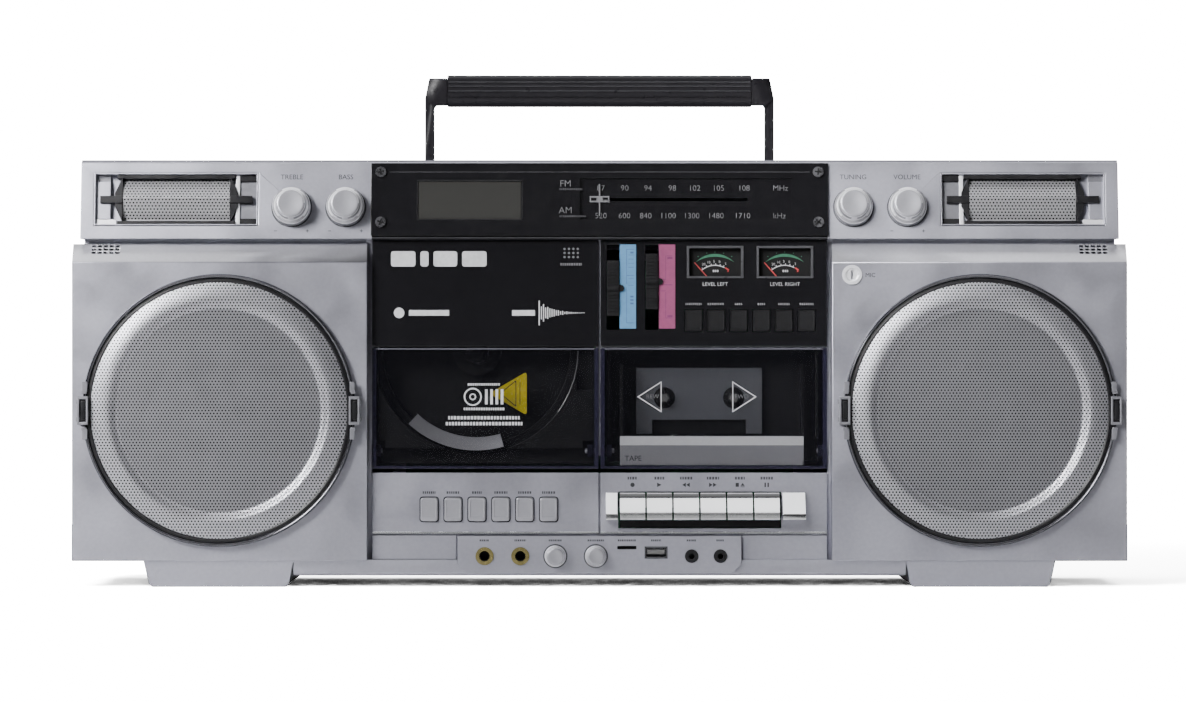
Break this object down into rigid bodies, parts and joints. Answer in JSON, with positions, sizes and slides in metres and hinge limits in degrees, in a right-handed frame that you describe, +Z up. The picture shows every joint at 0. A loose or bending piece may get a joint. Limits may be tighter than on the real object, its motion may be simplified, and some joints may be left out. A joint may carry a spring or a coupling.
{
  "type": "cassette player",
  "caption": "Wide portable player with two round speakers, a disc bay and a cassette bay behind drop-down doors, a tuner dial, piano keys and a folding carrying handle.",
  "frame": {"origin": "under the middle of the whole outline, on the surface that the feet stand on", "axes": "+Z up, the front faces -Y, +X to the right seen from the front"},
  "size_m": [0.644, 0.1426, 0.3154],
  "materials": {
    "silver_plastic": "satin silver paint on moulded plastic with a fine metallic fleck",
    "black_gloss": "glossy black acrylic panel",
    "black_plastic": "satin black moulded plastic",
    "chrome_trim": "bright plated trim",
    "dark_chrome": "dark plated ring",
    "perforated_metal": "perforated sheet, clear anodised",
    "cone_paper": "black coated cone on a steel basket",
    "clear_smoke": "smoked clear polycarbonate",
    "deck_grey": "grey moulded deck plate",
    "board_green": "epoxy board with solder mask",
    "meter_grey": "grey meter bezel with printed dark face",
    "needle_red": "red plastic pointer",
    "pointer_white": "pale dial pointer",
    "gold_plate": "gold plated jack collars, black and nickel inserts",
    "white_nylon": "dark acetal reel spindle with a pale tip",
    "steel_screw": "cross recessed steel screws"
  },
  "bodies": {
    "cabinet": {"front_cabinet": "silver_plastic", "rear_cabinet": "silver_plastic", "dial_panel": "black_gloss", "control_panel": "black_gloss", "lower_panels": "silver_plastic", "jack_panel": "silver_plastic", "sockets": "gold_plate", "speaker_rings": "dark_chrome", "speaker_grilles": "perforated_metal", "speaker_drivers": "cone_paper", "tweeter_frames": "silver_plastic", "tweeter_grilles": "perforated_metal", "cd_well": "black_plastic", "tape_deck": "deck_grey", "circuit_boards": "board_green", "level_meters": "meter_grey", "screws": "steel_screw", "power_inlet": "black_plastic", "built_in_mic": "chrome_trim"},
    "handle": {"handle_frame": "black_plastic", "handle_grip": "black_plastic"},
    "cd_door": {"cd_door": "clear_smoke"},
    "tape_door": {"tape_door": "clear_smoke", "tape_holder": "silver_plastic"},
    "battery_cover": {"battery_cover": "silver_plastic"},
    "antenna_base": {"antenna_base": "chrome_trim"},
    "antenna_mast": {"antenna_mast": "chrome_trim"},
    "antenna_tip": {"antenna_tip": "chrome_trim"},
    "play_key": {"play_key": "chrome_trim"},
    "tuning_knob": {"tuning_knob": "silver_plastic"},
    "dial_pointer": {"dial_pointer": "pointer_white"},
    "slider_left": {"slider_left": "black_plastic"},
    "slider_right": {"slider_right": "black_plastic"},
    "needle_left": {"needle_left": "needle_red"},
    "needle_right": {"needle_right": "needle_red"},
    "volume_knob": {"volume_knob": "silver_plastic"},
    "bass_knob": {"bass_knob": "silver_plastic"},
    "treble_knob": {"treble_knob": "silver_plastic"},
    "echo_knob": {"echo_knob": "silver_plastic"},
    "mic_level_knob": {"mic_level_knob": "silver_plastic"},
    "record_key": {"record_key": "chrome_trim"},
    "rewind_key": {"rewind_key": "chrome_trim"},
    "forward_key": {"forward_key": "chrome_trim"},
    "stop_key": {"stop_key": "chrome_trim"},
    "pause_key": {"pause_key": "chrome_trim"},
    "cd_hub": {"cd_hub": "black_plastic"},
    "supply_spindle": {"supply_spindle": "white_nylon"},
    "takeup_spindle": {"takeup_spindle": "white_nylon"},
    "cd_button_1": {"cd_button_1": "silver_plastic"},
    "cd_button_2": {"cd_button_2": "silver_plastic"},
    "cd_button_3": {"cd_button_3": "silver_plastic"},
    "cd_button_4": {"cd_button_4": "silver_plastic"},
    "cd_button_5": {"cd_button_5": "silver_plastic"},
    "cd_button_6": {"cd_button_6": "silver_plastic"},
    "mode_button_1": {"mode_button_1": "black_plastic"},
    "mode_button_2": {"mode_button_2": "black_plastic"},
    "mode_button_3": {"mode_button_3": "black_plastic"},
    "mode_button_4": {"mode_button_4": "black_plastic"},
    "mode_button_5": {"mode_button_5": "black_plastic"},
    "mode_button_6": {"mode_button_6": "black_plastic"}
  },
  "joints": [
    {"name": "handle_fold", "type": "hinge", "parent": "cabinet", "child": "handle", "pos_m": [0, 0.003, 0.253], "axis": [-1, 0, 0], "range_deg": [0, 90]},
    {"name": "cd_door_hinge", "type": "hinge", "parent": "cabinet", "child": "cd_door", "pos_m": [0, -0.05119, 0.083], "axis": [1, 0, 0], "range_deg": [0, 35]},
    {"name": "tape_door_hinge", "type": "hinge", "parent": "cabinet", "child": "tape_door", "pos_m": [0, -0.05119, 0.083], "axis": [1, 0, 0], "range_deg": [0, 30]},
    {"name": "battery_cover_hinge", "type": "hinge", "parent": "cabinet", "child": "battery_cover", "pos_m": [0, 0.06981, 0.039], "axis": [-1, 0, 0], "range_deg": [0, 100]},
    {"name": "antenna_swivel", "type": "hinge", "parent": "cabinet", "child": "antenna_base", "pos_m": [0.13, 0.06456, 0], "axis": [0, 0, 1], "range_deg": [0, 120]},
    {"name": "antenna_tilt", "type": "hinge", "parent": "antenna_base", "child": "antenna_mast", "pos_m": [0.13, 0.06456, 0.2545], "axis": [0, -1, 0], "range_deg": [0, 90]},
    {"name": "antenna_extend", "type": "slide", "parent": "antenna_mast", "child": "antenna_tip", "axis": [1, 0, 0], "range_m": [0, 0.15]},
    {"name": "play_key_press", "type": "hinge", "parent": "cabinet", "child": "play_key", "pos_m": [0, -0.01969, 0.05], "axis": [1, 0, 0], "range_deg": [0, 5], "stiffness_Nm_per_rad": 0.3, "springref_deg": -17.19},
    {"name": "tuning_turn", "type": "hinge", "parent": "cabinet", "child": "tuning_knob", "pos_m": [0.1552, -0.05702, 0.2318], "axis": [0, 0.9816, -0.1908], "range_deg": [0, 1080]},
    {"name": "pointer_slide", "type": "slide", "parent": "cabinet", "child": "dial_pointer", "axis": [1, 0, 0], "range_m": [0, 0.0885]},
    {"name": "slider_left_slide", "type": "slide", "parent": "cabinet", "child": "slider_left", "axis": [0, 0, 1], "range_m": [-0.0078, 0.009]},
    {"name": "slider_right_slide", "type": "slide", "parent": "cabinet", "child": "slider_right", "axis": [0, 0, 1], "range_m": [-0.0118, 0.0049]},
    {"name": "needle_left_swing", "type": "hinge", "parent": "cabinet", "child": "needle_left", "pos_m": [0.07065, -0.05369, 0.184], "axis": [0, 1, 0], "range_deg": [0, 83], "stiffness_Nm_per_rad": 0.00002, "springref_deg": -28.65},
    {"name": "needle_right_swing", "type": "hinge", "parent": "cabinet", "child": "needle_right", "pos_m": [0.11335, -0.05369, 0.184], "axis": [0, 1, 0], "range_deg": [0, 83], "stiffness_Nm_per_rad": 0.00002, "springref_deg": -28.65},
    {"name": "volume_turn", "type": "hinge", "parent": "cabinet", "child": "volume_knob", "pos_m": [0.1882, -0.05702, 0.2318], "axis": [0, 0.9816, -0.1908], "range_deg": [-150, 150]},
    {"name": "bass_turn", "type": "hinge", "parent": "cabinet", "child": "bass_knob", "pos_m": [-0.1552, -0.05702, 0.2318], "axis": [0, 0.9816, -0.1908], "range_deg": [-150, 150]},
    {"name": "treble_turn", "type": "hinge", "parent": "cabinet", "child": "treble_knob", "pos_m": [-0.1882, -0.05702, 0.2318], "axis": [0, 0.9816, -0.1908], "range_deg": [-150, 150]},
    {"name": "echo_turn", "type": "hinge", "parent": "cabinet", "child": "echo_knob", "pos_m": [-0.027, -0.06219, 0.0188], "axis": [0, 1, 0], "range_deg": [-150, 150]},
    {"name": "mic_level_turn", "type": "hinge", "parent": "cabinet", "child": "mic_level_knob", "pos_m": [-0.0023, -0.06219, 0.0188], "axis": [0, 1, 0], "range_deg": [-150, 150]},
    {"name": "record_key_press", "type": "hinge", "parent": "cabinet", "child": "record_key", "pos_m": [0, -0.01969, 0.05], "axis": [1, 0, 0], "range_deg": [0, 5], "stiffness_Nm_per_rad": 0.3, "springref_deg": -17.19},
    {"name": "rewind_key_press", "type": "hinge", "parent": "cabinet", "child": "rewind_key", "pos_m": [0, -0.01969, 0.05], "axis": [1, 0, 0], "range_deg": [0, 5], "stiffness_Nm_per_rad": 0.3, "springref_deg": -17.19},
    {"name": "forward_key_press", "type": "hinge", "parent": "cabinet", "child": "forward_key", "pos_m": [0, -0.01969, 0.05], "axis": [1, 0, 0], "range_deg": [0, 5], "stiffness_Nm_per_rad": 0.3, "springref_deg": -17.19},
    {"name": "stop_key_press", "type": "hinge", "parent": "cabinet", "child": "stop_key", "pos_m": [0, -0.01969, 0.05], "axis": [1, 0, 0], "range_deg": [0, 5], "stiffness_Nm_per_rad": 0.3, "springref_deg": -17.19},
    {"name": "pause_key_press", "type": "hinge", "parent": "cabinet", "child": "pause_key", "pos_m": [0, -0.01969, 0.05], "axis": [1, 0, 0], "range_deg": [0, 5], "stiffness_Nm_per_rad": 0.3, "springref_deg": -17.19},
    {"name": "cd_hub_spin", "type": "hinge", "parent": "cabinet", "child": "cd_hub", "pos_m": [-0.0755, -0.03669, 0.144], "axis": [0, 1, 0], "continuous": true},
    {"name": "supply_spin", "type": "hinge", "parent": "cabinet", "child": "supply_spindle", "pos_m": [0.03995, -0.04019, 0.1153], "axis": [0, 1, 0], "continuous": true},
    {"name": "takeup_spin", "type": "hinge", "parent": "cabinet", "child": "takeup_spindle", "pos_m": [0.08245, -0.04019, 0.1153], "axis": [0, 1, 0], "continuous": true},
    {"name": "cd_button_1_press", "type": "slide", "parent": "cabinet", "child": "cd_button_1", "axis": [0, 1, 0], "range_m": [0, 0.0015], "stiffness_N_per_m": 300, "springref_m": -0.004},
    {"name": "cd_button_2_press", "type": "slide", "parent": "cabinet", "child": "cd_button_2", "axis": [0, 1, 0], "range_m": [0, 0.0015], "stiffness_N_per_m": 300, "springref_m": -0.004},
    {"name": "cd_button_3_press", "type": "slide", "parent": "cabinet", "child": "cd_button_3", "axis": [0, 1, 0], "range_m": [0, 0.0015], "stiffness_N_per_m": 300, "springref_m": -0.004},
    {"name": "cd_button_4_press", "type": "slide", "parent": "cabinet", "child": "cd_button_4", "axis": [0, 1, 0], "range_m": [0, 0.0015], "stiffness_N_per_m": 300, "springref_m": -0.004},
    {"name": "cd_button_5_press", "type": "slide", "parent": "cabinet", "child": "cd_button_5", "axis": [0, 1, 0], "range_m": [0, 0.0015], "stiffness_N_per_m": 300, "springref_m": -0.004},
    {"name": "cd_button_6_press", "type": "slide", "parent": "cabinet", "child": "cd_button_6", "axis": [0, 1, 0], "range_m": [0, 0.0015], "stiffness_N_per_m": 300, "springref_m": -0.004},
    {"name": "mode_button_1_press", "type": "slide", "parent": "cabinet", "child": "mode_button_1", "axis": [0, 1, 0], "range_m": [0, 0.0008], "stiffness_N_per_m": 300, "springref_m": -0.004},
    {"name": "mode_button_2_press", "type": "slide", "parent": "cabinet", "child": "mode_button_2", "axis": [0, 1, 0], "range_m": [0, 0.0008], "stiffness_N_per_m": 300, "springref_m": -0.004},
    {"name": "mode_button_3_press", "type": "slide", "parent": "cabinet", "child": "mode_button_3", "axis": [0, 1, 0], "range_m": [0, 0.0008], "stiffness_N_per_m": 300, "springref_m": -0.004},
    {"name": "mode_button_4_press", "type": "slide", "parent": "cabinet", "child": "mode_button_4", "axis": [0, 1, 0], "range_m": [0, 0.0008], "stiffness_N_per_m": 300, "springref_m": -0.004},
    {"name": "mode_button_5_press", "type": "slide", "parent": "cabinet", "child": "mode_button_5", "axis": [0, 1, 0], "range_m": [0, 0.0008], "stiffness_N_per_m": 300, "springref_m": -0.004},
    {"name": "mode_button_6_press", "type": "slide", "parent": "cabinet", "child": "mode_button_6", "axis": [0, 1, 0], "range_m": [0, 0.0008], "stiffness_N_per_m": 300, "springref_m": -0.004}
  ],
  "couplings": [
    {"joint": "pointer_slide", "follows": "tuning_turn", "m_per_rad": 0.00469}
  ]
}
